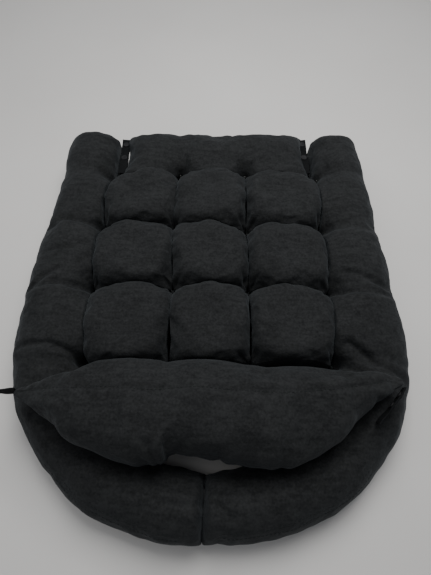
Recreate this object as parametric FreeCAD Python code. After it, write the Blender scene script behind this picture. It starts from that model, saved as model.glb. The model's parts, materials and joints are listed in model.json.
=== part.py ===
import FreeCAD, Part
import math
import os

# Pet cushion bed, millimetres. The origin is on the floor under the middle of the tufted mat.
# +Y points to the head of the bed, +X to the right when lying on it, +Z up.

# ---------- driving dimensions ----------
COLUMN_X = [-158.0, -52.0, 54.0, 164.0]     # tuft columns; stuffing pushes the right one out
ROW_Y = [208.0, 104.0, 0.0, -104.0]         # tuft rows, from the head
SEAM_GAP = 0.4           # half the gap between two neighbouring chambers
PANEL_THICK = 2.0        # non-slip underside
SKIN = 1.5               # thickness of a sewn cover
SKIN_PLAY = 0.2          # between a cover and its filling
MAT_TOP = 78.0           # highest point of a mat cell
BOLSTER_TOP = 82.0       # highest point of a side bolster
HEAD_TOP = 72.0          # highest point of the head flap
CORNER_R = 30.0          # plan corner of a chamber
CROWN_R = 26.0           # upper edge of a chamber
HEM_R = 12.0             # lower edge of a chamber

HEAD_LENGTH = 90.0       # head flap from its seam to the back edge
HEAD_LEFT_X = -141.0
HEAD_RIGHT_X = 152.0
BOLSTER_INNER = {-1: 158.0, 1: 164.0}       # inner edge, by side
BOLSTER_HEAD_INNER = {-1: 158.0, 1: 169.0}  # the same beside the head flap
BOLSTER_BACK = 296.0     # back end of the side bolsters
# (y, x) of the bolster's outer edge at each tuft row, from the head end
BOLSTER_OUTER = [(BOLSTER_BACK, 238.0), (208.0, 244.0), (104.0, 253.0), (0.0, 259.0), (-104.0, 252.0)]
PANEL_INSET = 14.0       # the underside stays this far inside the outer edge

HEAD_HINGE_Z = 32.0      # the head flap turns about this height at its seam
PILLOW_HINGE_Z = 81.0    # the front pillow turns about this height at its seam

ARM_PIVOT_X = 201.0      # the arms swing about an upright line at the end of the bolsters
ARM_PIVOT_R = 42.0
ARM_CLEARANCE = 1.5
ARM_END_HALF_WIDTH = 32.0
ARM_FRONT_Y = -262.0     # middle of the arms where they meet
ARM_FLOOR = 3.0
ARM_TOP = 66.0
LEFT_ARM_END_X = -12.0
RIGHT_ARM_END_X = 4.0
LEFT_ARM_TAPE_Z = 32.0   # the two front tapes lie one over the other
RIGHT_ARM_TAPE_Z = 37.6
ARM_BACK_SHARES = (0.985, 0.9, 0.7, 0.4)    # sections of the round back end, as shares of its radius
ARM_BEND_SECTIONS = 7
ARM_END_ROUND = 20.0     # length over which the front end rounds off
ARM_END_SECTIONS = (16.0, 6.0, 0.5)         # distances of the last sections from the tip
ARM_TIP_WIDTH = 0.55     # width left at the blunt front tip

PILLOW_HALF_LENGTH = 213.0
PILLOW_Y = -166.0
PILLOW_BOW = 22.0        # the tips lie this much nearer the head than the middle
PILLOW_Z = 80.0
PILLOW_LIFT = 17.0       # the tips ride this much higher, on the bolsters
PILLOW_BEND_REACH = 175.0  # the ends are level beyond this distance from the middle
PILLOW_HALF_DEPTH = 60.0
PILLOW_HALF_HEIGHT = 40.0
PILLOW_SECTIONS = 14
PILLOW_TIP_CUT = 0.35    # part of a step left off at each tip, so that the tips are blunt
PILLOW_TAPER = 0.55      # smaller is fuller towards the tips

STRIP_THICK = 1.6        # flat tape that carries the press studs
STRIP_WIDTH = 14.5
HEAD_TAPE_LENGTH = 78.0
HEAD_TAPE_Z = 40.0
HEAD_TAPE_OVERHANG = 4.0 # past the back edge of the flap
BOLSTER_TAPE_LENGTH = 27.0
BOLSTER_TAPE_Z = 26.0
ARM_TAPE_LENGTH = 40.0
PILLOW_LEFT_TAPE = 34.0
PILLOW_LEFT_TAPE_DROP = (6.0, 3.0)          # in y and z, from the pillow's tip
PILLOW_RIGHT_TAPE = 50.0
PILLOW_RIGHT_TAPE_SHIFT = (-10.6, -21.2, -8.0)  # from the pillow's tip to the tape's middle
PILLOW_RIGHT_TAPE_NORMAL = (0.76, -0.65, 0.0)
PILLOW_RIGHT_TAPE_RUN = (0.62, 0.725, 0.3)
# places of the studs along each tape, from its middle
HEAD_STUDS = (-27.0, 4.0)
BOLSTER_STUDS = (-5.0, 5.0)
ARM_STUDS = (-11.0, 11.0)
PILLOW_LEFT_STUDS = (-6.0,)
PILLOW_RIGHT_STUDS = (1.0, 15.0)
STUD_CAP_R = 5.0
STUD_CAP_H = 1.2
STUD_RING_R = 3.6
STUD_RING_H = 1.0
STUD_SHANK_R = 1.5
TIE_R = 1.0
KNOT_R = 3.0
KNOT_Z = 17.0
END_TIE_SHIFT = 6.0      # ties of the end rows sit this much inside their seams

# ---------- worked out ----------
HEAD_SEAM_Y = ROW_Y[0]
FRONT_SEAM_Y = ROW_Y[-1]
HEAD_BACK_Y = HEAD_SEAM_Y + HEAD_LENGTH
ARM_PIVOT_Y = FRONT_SEAM_Y - ARM_PIVOT_R - ARM_CLEARANCE
ARM_MID_Z = (ARM_FLOOR + ARM_TOP) / 2
FILL_INSET = SKIN + SKIN_PLAY

nodes = {}


def vec(x, y, z=0.0):
    return FreeCAD.Vector(x, y, z)


# ---------- chambers with an upright edge: rounded outline, crowned top ----------
def rounded_outline(corners, inset, z):
    """Closed wire through four plan corners, moved in by inset, with round corners."""
    wire = Part.makePolygon([vec(x, y, z) for x, y in corners] + [vec(*corners[0], z)])
    if inset:
        wire = wire.makeOffset2D(-inset)
    face = Part.Face(wire)
    solid = face.extrude(vec(0, 0, 1))
    upright = [e for e in solid.Edges if abs(e.Vertexes[0].Z - e.Vertexes[-1].Z) > 0.5]
    solid = solid.makeFillet(CORNER_R - inset, upright)
    floor_face = min(solid.Faces, key=lambda f: f.CenterOfMass.z)
    return floor_face.OuterWire


def chamber(corners, top, inset):
    """A stuffed chamber over four plan corners, from the underside panel up to top."""
    low = PANEL_THICK + inset
    high = top - inset
    body = Part.Face(rounded_outline(corners, inset, low)).extrude(vec(0, 0, high - low))
    top_edges = [e for e in body.Edges if min(v.Z for v in e.Vertexes) > high - 0.01]
    body = body.makeFillet(CROWN_R - inset, top_edges)
    low_edges = [e for e in body.Edges if max(v.Z for v in e.Vertexes) < low + 0.01]
    return body.makeFillet(HEM_R - inset, low_edges)


def rectangle(x0, x1, y0, y1):
    gap = SEAM_GAP
    return [(x0 + gap, y0 + gap), (x1 - gap, y0 + gap), (x1 - gap, y1 - gap), (x0 + gap, y1 - gap)]


def fold_relief(side):
    """Wedge cut from the chambers beside the head seam, so that the flap can fold up.

    side is +1 for the flap and -1 for the mat; the two slopes together leave a right angle."""
    reach = BOLSTER_OUTER[0][1]
    rise = BOLSTER_TOP
    foot = HEAD_SEAM_Y + side * SEAM_GAP
    profile = [
        vec(-reach, foot - side * rise, HEAD_HINGE_Z),
        vec(-reach, foot, HEAD_HINGE_Z),
        vec(-reach, foot + side * rise, HEAD_HINGE_Z + rise),
        vec(-reach, foot - side * rise, HEAD_HINGE_Z + rise),
    ]
    return Part.Face(Part.makePolygon(profile + [profile[0]])).extrude(vec(2 * reach, 0, 0))


# ---------- sausage-shaped chambers: ellipses along a line ----------
def ellipse_wire(centre, along, half_width, half_height):
    """Upright ellipse round centre; along is the direction of the line in plan."""
    across = vec(-along.y, along.x, 0).normalize()
    rim = []
    count = 16
    for step in range(count):
        turn = 2 * math.pi * step / count
        rim.append(centre + across * (half_width * math.cos(turn)) + vec(0, 0, half_height * math.sin(turn)))
    curve = Part.BSplineCurve()
    curve.interpolate(rim, PeriodicFlag=True)
    return Part.Wire([curve.toShape()])


def sausage(stations, inset):
    """Loft through (centre, along, half_width, half_height), each moved in by inset."""
    rings = []
    for centre, along, half_width, half_height in stations:
        if min(half_width, half_height) > 2.0 * inset:
            rings.append(ellipse_wire(centre, along, half_width - inset, half_height - inset))
    return Part.makeLoft(rings, True, True)


def cover_and_filling(shape_at):
    """Sewn cover as a shell, and the fibre inside it; shape_at(inset) gives the outer form."""
    cover = shape_at(0.0).cut(shape_at(SKIN))
    return cover, shape_at(FILL_INSET)


# ---------- tape strips and press studs ----------
def frame_on(centre, normal, along):
    """Placement whose Z is normal and whose X is along."""
    z_axis = vec(*normal).normalize()
    x_axis = vec(*along).normalize()
    y_axis = z_axis.cross(x_axis)
    turn = FreeCAD.Rotation(x_axis, y_axis, z_axis, "ZXY")
    return FreeCAD.Placement(vec(*centre), turn)


def tape_strip(centre, normal, along, length, stud_spots):
    """Flat tape with a hole for each stud shank; stud_spots are distances along it."""
    strip = Part.makeBox(length, STRIP_WIDTH, STRIP_THICK, vec(-length / 2, -STRIP_WIDTH / 2, -STRIP_THICK / 2))
    for spot in stud_spots:
        hole = Part.makeCylinder(STUD_SHANK_R, 2 * STRIP_THICK, vec(spot, 0, -STRIP_THICK))
        strip = strip.cut(hole)
    strip.Placement = frame_on(centre, normal, along)
    return strip


def press_studs(centre, normal, along, stud_spots, capped):
    """One stud half per spot: a cap on the normal side and a ring on the other side."""
    half = STRIP_THICK / 2
    studs = []
    for spot in stud_spots:
        shank = Part.makeCylinder(STUD_SHANK_R, STRIP_THICK, vec(spot, 0, -half))
        ring = Part.makeCylinder(STUD_RING_R, STUD_RING_H, vec(spot, 0, -half - STUD_RING_H))
        stud = shank.fuse(ring)
        if capped:
            stud = stud.fuse(Part.makeCylinder(STUD_CAP_R, STUD_CAP_H, vec(spot, 0, half)))
        stud = stud.removeSplitter()
        stud.Placement = frame_on(centre, normal, along)
        studs.append(stud)
    return Part.Compound(studs)


def add_tape(name, centre, normal, along, length, stud_spots, capped=True):
    nodes[name + "_tape"] = tape_strip(centre, normal, along, length, stud_spots)
    nodes[name + "_studs"] = press_studs(centre, normal, along, stud_spots, capped)


# ---------- mat: nine tufted cells ----------
def mat_cell(row, column, inset):
    across = COLUMN_X[column : column + 2]
    front, back = ROW_Y[row + 1], ROW_Y[row]
    cell = chamber(rectangle(*across, front, back), MAT_TOP, inset)
    if row == 0:
        cell = cell.cut(fold_relief(-1).translated(vec(0, -inset, -inset)))
    return cell


def build_mat():
    covers = []
    for row in range(len(ROW_Y) - 1):
        for column in range(len(COLUMN_X) - 1):
            cover, filling = cover_and_filling(lambda inset: mat_cell(row, column, inset))
            covers.append(cover)
            nodes[f"mat_filling_r{row + 1}_c{column + 1}"] = filling
    nodes["mat_cover"] = Part.Compound(covers)


# ---------- side bolsters: four chambers each ----------
def bolster_corners(side, part_index):
    (y_back, x_back), (y_front, x_front) = BOLSTER_OUTER[part_index : part_index + 2]
    inner = (BOLSTER_INNER if part_index else BOLSTER_HEAD_INNER)[side] + SEAM_GAP
    corners = [
        (inner, y_front + SEAM_GAP),
        (x_front, y_front + SEAM_GAP),
        (x_back, y_back - SEAM_GAP),
        (inner, y_back - SEAM_GAP),
    ]
    if side < 0:
        corners = [(-x, y) for x, y in reversed(corners)]
    return corners


def build_bolster(name, side):
    covers = []
    for index in range(len(BOLSTER_OUTER) - 1):
        corners = bolster_corners(side, index)
        cover, filling = cover_and_filling(lambda inset: chamber(corners, BOLSTER_TOP, inset))
        covers.append(cover)
        nodes[f"{name}_bolster_filling_{index + 1}"] = filling
    nodes[f"{name}_bolster_cover"] = Part.Compound(covers)


# ---------- underside and tufting ties ----------
def panel(outline):
    wire = Part.makePolygon([vec(x, y) for x, y in outline] + [vec(*outline[0])])
    return Part.Face(wire).extrude(vec(0, 0, PANEL_THICK))


def build_underside():
    """One sheet under the mat and bolsters, and a tongue under each bolster's head end."""
    right = [(x - PANEL_INSET, y) for y, x in BOLSTER_OUTER[1:]]
    left = [(-x, y) for x, y in reversed(right)]
    nodes["underside_panel"] = panel(right + left)
    outer = BOLSTER_OUTER[0][1] - PANEL_INSET
    back = BOLSTER_BACK - PANEL_INSET
    for name, side in (("left", -1), ("right", 1)):
        inner = BOLSTER_HEAD_INNER[side] + PANEL_INSET
        tongue = [(inner, HEAD_SEAM_Y), (outer, HEAD_SEAM_Y), (outer, back), (inner, back)]
        nodes[f"{name}_underside_tongue"] = panel([(side * x, y) for x, y in tongue])


def build_ties():
    """One thread and knot per tuft."""
    ties = []
    for row_y in ROW_Y:
        y = row_y
        if row_y == HEAD_SEAM_Y:
            y -= END_TIE_SHIFT
        if row_y == FRONT_SEAM_Y:
            y += END_TIE_SHIFT
        for x in COLUMN_X:
            thread = Part.makeCylinder(TIE_R, KNOT_Z - PANEL_THICK, vec(x, y, PANEL_THICK))
            ties.append(thread.fuse(Part.makeSphere(KNOT_R, vec(x, y, KNOT_Z))))
    nodes["tufting_ties"] = Part.Compound(ties)


# ---------- head flap ----------
def head_shape(inset):
    corners = rectangle(HEAD_LEFT_X, HEAD_RIGHT_X, HEAD_SEAM_Y, HEAD_BACK_Y)
    flap = chamber(corners, HEAD_TOP, inset)
    return flap.cut(fold_relief(1).translated(vec(0, inset, -inset)))


def build_head_flap():
    nodes["head_cover"], nodes["head_filling"] = cover_and_filling(head_shape)
    middle_y = HEAD_BACK_Y + HEAD_TAPE_OVERHANG - HEAD_TAPE_LENGTH / 2
    for name, side, edge_x in (("left", -1, HEAD_LEFT_X), ("right", 1, HEAD_RIGHT_X)):
        centre = (edge_x + side * (STRIP_WIDTH / 2 - SEAM_GAP), middle_y, HEAD_TAPE_Z)
        add_tape(f"head_{name}", centre, (0, 0, 1), (0, -1, 0), HEAD_TAPE_LENGTH, HEAD_STUDS)
        hang_x = BOLSTER_HEAD_INNER[side] + SEAM_GAP - STRIP_THICK / 2
        centre = (side * hang_x, HEAD_SEAM_Y + HEAD_LENGTH / 2, BOLSTER_TAPE_Z)
        add_tape(f"{name}_bolster", centre, (side, 0, 0), (0, -1, 0), BOLSTER_TAPE_LENGTH, BOLSTER_STUDS, False)


# ---------- arms ----------
def arm_station(turn, side, end_x):
    """Point of the arm's middle line, its direction, and its half width, at turn from the pivot."""
    wide = ARM_PIVOT_X - abs(end_x) * math.copysign(1.0, end_x * side)
    deep = ARM_PIVOT_Y - ARM_FRONT_Y
    centre = vec(side * (ARM_PIVOT_X - wide * (1 - math.cos(turn))), ARM_PIVOT_Y - deep * math.sin(turn), ARM_MID_Z)
    along = vec(-side * wide * math.sin(turn), -deep * math.cos(turn))
    share = turn / (math.pi / 2)
    half_width = ARM_PIVOT_R + (ARM_END_HALF_WIDTH - ARM_PIVOT_R) * share
    return centre, along, half_width


def arm_stations(side, end_x):
    half_height = (ARM_TOP - ARM_FLOOR) / 2
    stations = []
    for back in ARM_BACK_SHARES:
        round_off = math.sqrt(1 - back * back)
        centre = vec(side * ARM_PIVOT_X, ARM_PIVOT_Y + ARM_PIVOT_R * back, ARM_MID_Z)
        stations.append((centre, vec(0, -1), ARM_PIVOT_R * round_off, half_height * round_off**0.6))
    for step in range(ARM_BEND_SECTIONS):
        turn = math.pi / 2 * step / ARM_BEND_SECTIONS
        centre, along, half_width = arm_station(turn, side, end_x)
        stations.append((centre, along, half_width, half_height))
    centre, along, half_width = arm_station(math.pi / 2, side, end_x)
    for left_over in ARM_END_SECTIONS:
        swell = math.sqrt(1 - (1 - left_over / ARM_END_ROUND) ** 2)
        tip = centre + vec(side * left_over, 0)
        width_share = ARM_TIP_WIDTH + (1 - ARM_TIP_WIDTH) * swell
        stations.append((tip, along, half_width * width_share, half_height * swell))
    return stations


def build_arm(name, side, end_x, tape_z, tape_normal):
    stations = arm_stations(side, end_x)
    cover, filling = cover_and_filling(lambda inset: sausage(stations, inset))
    nodes[f"{name}_arm_cover"] = cover
    nodes[f"{name}_arm_filling"] = filling
    centre_x = end_x - side * STRIP_WIDTH / 2
    centre = (centre_x, ARM_FRONT_Y, tape_z)
    add_tape(f"{name}_arm", centre, tape_normal, (0, 1, 0), ARM_TAPE_LENGTH, ARM_STUDS)


# ---------- front pillow ----------
def pillow_shape(inset):
    stations = []
    for step in range(PILLOW_SECTIONS + 1):
        share = -math.cos(math.pi * (step + PILLOW_TIP_CUT) / (PILLOW_SECTIONS + 2 * PILLOW_TIP_CUT))
        x = PILLOW_HALF_LENGTH * share
        bow = min(1.0, (x / PILLOW_BEND_REACH) ** 2)
        centre = vec(x, PILLOW_Y + PILLOW_BOW * bow, PILLOW_Z + PILLOW_LIFT * bow)
        swell = (1 - share * share) ** PILLOW_TAPER
        stations.append((centre, vec(1, 0), PILLOW_HALF_DEPTH * swell**0.9, PILLOW_HALF_HEIGHT * swell))
    return sausage(stations, inset)


def build_pillow():
    nodes["pillow_cover"], nodes["pillow_filling"] = cover_and_filling(pillow_shape)
    tip_y = PILLOW_Y + PILLOW_BOW
    tip_z = PILLOW_Z + PILLOW_LIFT
    drop_y, drop_z = PILLOW_LEFT_TAPE_DROP
    left_tape = (-PILLOW_HALF_LENGTH - PILLOW_LEFT_TAPE / 2, tip_y - drop_y, tip_z - drop_z)
    add_tape("pillow_left", left_tape, (0, -1, 0), (1, 0, 0), PILLOW_LEFT_TAPE, PILLOW_LEFT_STUDS)
    right_tip = vec(PILLOW_HALF_LENGTH, tip_y, tip_z)
    right_tape = right_tip + vec(*PILLOW_RIGHT_TAPE_SHIFT)
    placing = (right_tape, PILLOW_RIGHT_TAPE_NORMAL, PILLOW_RIGHT_TAPE_RUN)
    add_tape("pillow_right", *placing, PILLOW_RIGHT_TAPE, PILLOW_RIGHT_STUDS)


def write_nodes():
    os.makedirs("parts", exist_ok=True)
    for name, shape in nodes.items():
        if not shape.isValid():
            raise ValueError(f"{name} is not a valid shape")
        shape.exportStep(f"parts/{name}.step")
        box = shape.BoundBox
        print(f"{name}: {len(shape.Solids)} solids, {shape.Volume / 1000:.0f} ml, z {box.ZMin:.1f} to {box.ZMax:.1f}")


build_mat()
build_bolster("left", -1)
build_bolster("right", 1)
build_underside()
build_ties()
build_head_flap()
build_arm("left", -1, LEFT_ARM_END_X, LEFT_ARM_TAPE_Z, (0, 0, -1))
build_arm("right", 1, RIGHT_ARM_END_X, RIGHT_ARM_TAPE_Z, (0, 0, 1))
build_pillow()
write_nodes()
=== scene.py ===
import bpy
import bmesh
import json
import math
import random
import numpy as np
from mathutils import Matrix, Vector, noise


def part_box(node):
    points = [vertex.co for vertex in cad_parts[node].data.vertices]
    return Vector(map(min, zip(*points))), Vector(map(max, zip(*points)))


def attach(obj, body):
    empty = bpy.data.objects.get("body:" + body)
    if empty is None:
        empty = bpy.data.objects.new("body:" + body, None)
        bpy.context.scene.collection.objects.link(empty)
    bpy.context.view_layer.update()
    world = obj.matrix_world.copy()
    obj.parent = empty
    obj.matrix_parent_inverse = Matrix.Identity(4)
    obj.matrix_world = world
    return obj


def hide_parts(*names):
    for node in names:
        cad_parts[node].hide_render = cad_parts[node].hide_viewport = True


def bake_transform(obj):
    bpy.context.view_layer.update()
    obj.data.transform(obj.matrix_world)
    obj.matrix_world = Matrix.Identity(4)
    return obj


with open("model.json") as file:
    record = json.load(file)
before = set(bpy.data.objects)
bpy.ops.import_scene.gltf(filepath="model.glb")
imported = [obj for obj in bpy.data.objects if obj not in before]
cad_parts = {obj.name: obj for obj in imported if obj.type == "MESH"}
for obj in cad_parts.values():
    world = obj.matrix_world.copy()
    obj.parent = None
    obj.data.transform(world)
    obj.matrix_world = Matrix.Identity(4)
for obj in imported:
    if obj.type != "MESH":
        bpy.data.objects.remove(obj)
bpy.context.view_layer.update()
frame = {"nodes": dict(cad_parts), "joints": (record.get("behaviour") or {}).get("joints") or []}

# ---------- places and sizes in metres; the seams and the heights come from the frame ----------
head_low, head_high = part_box("head_cover")
joints = {joint["name"]: joint for joint in frame["joints"]}

CELLS = 3
HEAD_SEAM_Y = joints["head_fold"]["pos_m"][1]
FRONT_SEAM_Y = joints["pillow_fold"]["pos_m"][1]
MAT_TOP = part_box("mat_cover")[1][2]
BOLSTER_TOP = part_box("right_bolster_cover")[1][2]
ARM_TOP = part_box("right_arm_cover")[1][2]
TUFT_Z = 0.033           # height of the cloth where a tuft pulls it down
SEAM_RISE = 0.036        # the seams rise this much halfway between two tufts
SEAM_POWER = 0.7         # below 1 the seams rise steeply beside a tuft
FLOOR_GAP = 0.0021       # undersides lie on the underside cloth
SEED = 7

# plan places of the tufts, a row from the head end at a time; stuffing pulls them out of square
TUFTS = [
    [(-0.158, 0.197), (-0.050, 0.207), (0.056, 0.204), (0.168, 0.195)],
    [(-0.162, 0.103), (-0.055, 0.105), (0.054, 0.102), (0.167, 0.096)],
    [(-0.163, 0.001), (-0.052, 0.003), (0.054, 0.001), (0.164, -0.005)],
    [(-0.157, -0.106), (-0.052, -0.105), (0.053, -0.105), (0.158, -0.106)],
]

rng = np.random.default_rng(SEED)


# ---------- mesh helpers ----------
GROOVE_POWER = 1.4       # how sharply a pressed groove ends
LIP_PLACE = 2.0          # a groove's raised lip is this many widths from its middle
RUFFLE_STEP = (3.1, 1.7, 0.9)    # moves the noise for each seed
FOLD_LOW = 0.03          # folds leave the cloth below this height alone
FOLD_LIP = 0.3


def new_object(name, data):
    made = bpy.data.objects.new(name, data)
    bpy.context.scene.collection.objects.link(made)
    return made


def new_mesh(name, verts, faces):
    data = bpy.data.meshes.new(name)
    data.from_pydata([tuple(v) for v in verts], [], faces)
    data.update()
    return new_object(name, data)


def smooth(piece):
    for polygon in piece.data.polygons:
        polygon.use_smooth = True
    return piece


def coords(piece):
    flat = np.empty(len(piece.data.vertices) * 3)
    piece.data.vertices.foreach_get("co", flat)
    return flat.reshape(-1, 3)


def set_coords(piece, points):
    piece.data.vertices.foreach_set("co", np.asarray(points, float).ravel())
    piece.data.update()


def activate(piece):
    bpy.context.view_layer.update()
    for other in bpy.context.selected_objects:
        other.select_set(False)
    piece.select_set(True)
    bpy.context.view_layer.objects.active = piece


def apply_modifier(piece, modifier):
    activate(piece)
    bpy.ops.object.modifier_apply(modifier=modifier.name)


def subdivide(piece, levels=1):
    modifier = piece.modifiers.new("subdivision", "SUBSURF")
    modifier.levels = levels
    modifier.render_levels = levels
    apply_modifier(piece, modifier)
    return piece


def press_in(piece, line, width, depth, fade=1.0, low=0.0, lip=0.0):
    """Sinks a soft groove along a line of plan points into the piece's skin.

    The groove is deepest at its first point and keeps the share fade of its depth at the last.
    lip raises the cloth on both sides of the groove, as a share of the depth."""
    points = coords(piece)
    normals = np.array([v.normal for v in piece.data.vertices])
    line = [np.array(p[:2], float) for p in line]
    steps = [np.linalg.norm(b - a) for a, b in zip(line, line[1:])]
    total = max(sum(steps), 1e-9)
    gap = np.full(len(points), np.inf)
    share = np.zeros(len(points))
    walked = 0.0
    for a, b, step in zip(line, line[1:], steps):
        run = b - a
        along = np.clip(((points[:, :2] - a) @ run) / max(step * step, 1e-12), 0, 1)
        here = np.linalg.norm(points[:, :2] - (a + along[:, None] * run), axis=1)
        nearer = here < gap
        share = np.where(nearer, (walked + along * step) / total, share)
        gap = np.where(nearer, here, gap)
        walked += step
    profile = np.exp(-((gap / width) ** GROOVE_POWER)) - lip * np.exp(-((gap / width - LIP_PLACE) ** 2))
    strength = depth * profile * (1 - (1 - fade) * share)
    strength = np.where(points[:, 2] > low, strength, 0)
    set_coords(piece, points - normals * strength[:, None])


def fold(piece, folds, low=FOLD_LOW):
    for line, width, depth, fade in folds:
        press_in(piece, line, width, depth, fade, low, FOLD_LIP)


def spread_out(steps):
    """Places from 0 to 1, closer together near both ends."""
    return 0.5 - 0.5 * np.cos(np.pi * np.arange(steps + 1) / steps)


def ruffle(piece, scale, amount, seed):
    """Small smooth unevenness along the normals, so that no two chambers match."""
    points = coords(piece)
    normals = np.array([v.normal for v in piece.data.vertices])
    shift = Vector([seed * step for step in RUFFLE_STEP])
    push = np.array([noise.noise(Vector(p) / scale + shift) for p in points])
    set_coords(piece, points + normals * (push * amount)[:, None])


# ---------- cloth simulation ----------
SIM_FRAMES = 18
STIFFNESS = 8.0
BENDING = 0.4
PIECE_MASS = 0.15
STILL = 1e-9             # shorter moves than this count as none


def swell(piece, pinned, pressure, growth, cap):
    """Puffs the piece up as cloth with some spare fabric, pinned at its seams.

    No point moves further than about cap from where it started."""
    start = coords(piece)
    group = piece.vertex_groups.new(name="seams")
    group.add(list(pinned), 1.0, "REPLACE")
    modifier = piece.modifiers.new("cloth", "CLOTH")
    cloth = modifier.settings
    cloth.quality = 6
    cloth.mass = PIECE_MASS
    cloth.air_damping = 4.0
    cloth.tension_stiffness = STIFFNESS
    cloth.compression_stiffness = STIFFNESS
    cloth.shear_stiffness = STIFFNESS / 2
    cloth.bending_stiffness = BENDING
    cloth.use_pressure = True
    cloth.uniform_pressure_force = pressure
    cloth.shrink_min = -growth
    cloth.shrink_max = -growth
    cloth.vertex_group_mass = "seams"
    cloth.effector_weights.gravity = 0.0
    modifier.collision_settings.use_collision = False
    modifier.collision_settings.use_self_collision = False
    modifier.point_cache.frame_start = 1
    modifier.point_cache.frame_end = SIM_FRAMES
    scene = bpy.context.scene
    for step in range(1, SIM_FRAMES + 1):
        scene.frame_set(step)
    apply_modifier(piece, modifier)
    scene.frame_set(1)
    moved = coords(piece) - start
    far = np.linalg.norm(moved, axis=1)
    keep = np.where(far > STILL, cap * np.tanh(far / cap) / np.maximum(far, STILL), 1.0)
    set_coords(piece, start + moved * keep[:, None])
    piece.vertex_groups.clear()


# ---------- materials ----------
NAP_DARK = (0.0052, 0.0057, 0.0059)
NAP_LIGHT = (0.0178, 0.0187, 0.0190)
DOT_SCALE = 160.0        # grip dots for each metre
DOT_RADIUS = 0.32        # as a share of the way from dot to dot
UNDERSIDE_DARK = (0.012, 0.012, 0.014)
UNDERSIDE_DOTS = (0.045, 0.045, 0.048)
STUD_DARK = (0.006, 0.006, 0.007)
STUD_LIGHT = (0.018, 0.018, 0.019)
FLOOR_DARK = (0.60, 0.585, 0.56)
FLOOR_LIGHT = (0.64, 0.625, 0.60)


def set_inputs(node, **values):
    """Sets a node's sockets; an underscore stands for a space in a socket's name."""
    for name, value in values.items():
        node.inputs[name.replace("_", " ")].default_value = value


def new_material(name):
    material = bpy.data.materials.new(name)
    material.use_nodes = True
    tree = material.node_tree
    shader = tree.nodes["Principled BSDF"]
    place = tree.nodes.new("ShaderNodeTexCoord")
    return material, tree, shader, place.outputs["Object"]


def paint(tree, shader, factor, low, high, start=0.3, end=0.7):
    """The shader's colour goes from low to high as factor goes from start to end."""
    ramp = tree.nodes.new("ShaderNodeValToRGB")
    ramp.color_ramp.elements[0].color = (*low, 1)
    ramp.color_ramp.elements[1].color = (*high, 1)
    ramp.color_ramp.elements[0].position = start
    ramp.color_ramp.elements[1].position = end
    tree.links.new(factor, ramp.inputs["Fac"])
    tree.links.new(ramp.outputs["Color"], shader.inputs["Base Color"])


def scaled_noise(tree, place, scale, detail=2.0, stretch=(1, 1, 1)):
    mapping = tree.nodes.new("ShaderNodeMapping")
    set_inputs(mapping, Scale=stretch)
    tree.links.new(place, mapping.inputs["Vector"])
    made = tree.nodes.new("ShaderNodeTexNoise")
    set_inputs(made, Scale=scale, Detail=detail)
    tree.links.new(mapping.outputs["Vector"], made.inputs["Vector"])
    return made.outputs["Fac"]


def blend_factor(tree, first, second, operation="ADD"):
    made = tree.nodes.new("ShaderNodeMath")
    made.operation = operation
    tree.links.new(first, made.inputs[0])
    if isinstance(second, (int, float)):
        made.inputs[1].default_value = second
    else:
        tree.links.new(second, made.inputs[1])
    return made.outputs["Value"]


def add_bump(tree, shader, height, strength, distance, under=None):
    bump = tree.nodes.new("ShaderNodeBump")
    set_inputs(bump, Strength=strength, Distance=distance)
    tree.links.new(height, bump.inputs["Height"])
    if under is not None:
        tree.links.new(under, bump.inputs["Normal"])
    tree.links.new(bump.outputs["Normal"], shader.inputs["Normal"])
    return bump.outputs["Normal"]


def vary_roughness(tree, shader, factor, change, lowest):
    rough = blend_factor(tree, blend_factor(tree, factor, change, "MULTIPLY"), lowest)
    tree.links.new(rough, shader.inputs["Roughness"])


def microsuede():
    """Brushed dark charcoal suede cloth: cloudy nap, brushed streaks, faint crossed threads, soft sheen."""
    material, tree, shader, place = new_material("microsuede")
    cloud = scaled_noise(tree, place, scale=28.0, detail=8.0)
    patches = scaled_noise(tree, place, scale=150.0, detail=5.0)
    streaks = scaled_noise(tree, place, scale=210.0, detail=5.0, stretch=(0.22, 1.0, 0.6))
    flecks = scaled_noise(tree, place, scale=380.0, detail=3.0)
    grain = scaled_noise(tree, place, scale=900.0)
    warp = scaled_noise(tree, place, scale=420.0, stretch=(1.0, 0.12, 0.5))
    weft = scaled_noise(tree, place, scale=420.0, stretch=(0.12, 1.0, 0.5))
    threads = blend_factor(tree, warp, weft)
    shade = blend_factor(tree, cloud, 0.20, "MULTIPLY")
    for layer, share in ((patches, 0.20), (streaks, 0.22), (flecks, 0.32), (threads, 0.03)):
        shade = blend_factor(tree, shade, blend_factor(tree, layer, share, "MULTIPLY"))
    paint(tree, shader, shade, NAP_DARK, NAP_LIGHT, start=0.41, end=0.59)
    vary_roughness(tree, shader, cloud, change=0.15, lowest=0.8)
    set_inputs(shader, Sheen_Weight=0.07, Sheen_Roughness=0.5, Sheen_Tint=(0.62, 0.70, 0.76, 1),
               Specular_IOR_Level=0.22)
    creases = add_bump(tree, shader, patches, strength=0.55, distance=0.0022)
    weave = add_bump(tree, shader, threads, strength=0.30, distance=0.0005, under=creases)
    add_bump(tree, shader, grain, strength=0.25, distance=0.0003, under=weave)
    return material


def ribbed(name, dark, light, rib, roughness):
    """Woven or twisted yarn with fine ribs, for tapes and threads."""
    material, tree, shader, place = new_material(name)
    wave = tree.nodes.new("ShaderNodeTexWave")
    set_inputs(wave, Scale=rib, Distortion=1.5)
    tree.links.new(place, wave.inputs["Vector"])
    patches = scaled_noise(tree, place, scale=60.0, detail=3.0)
    mixed = blend_factor(tree, wave.outputs["Fac"], patches, "MULTIPLY")
    paint(tree, shader, mixed, dark, light)
    set_inputs(shader, Roughness=roughness, Specular_IOR_Level=0.12)
    add_bump(tree, shader, wave.outputs["Fac"], strength=0.5, distance=0.0004)
    return material


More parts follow.
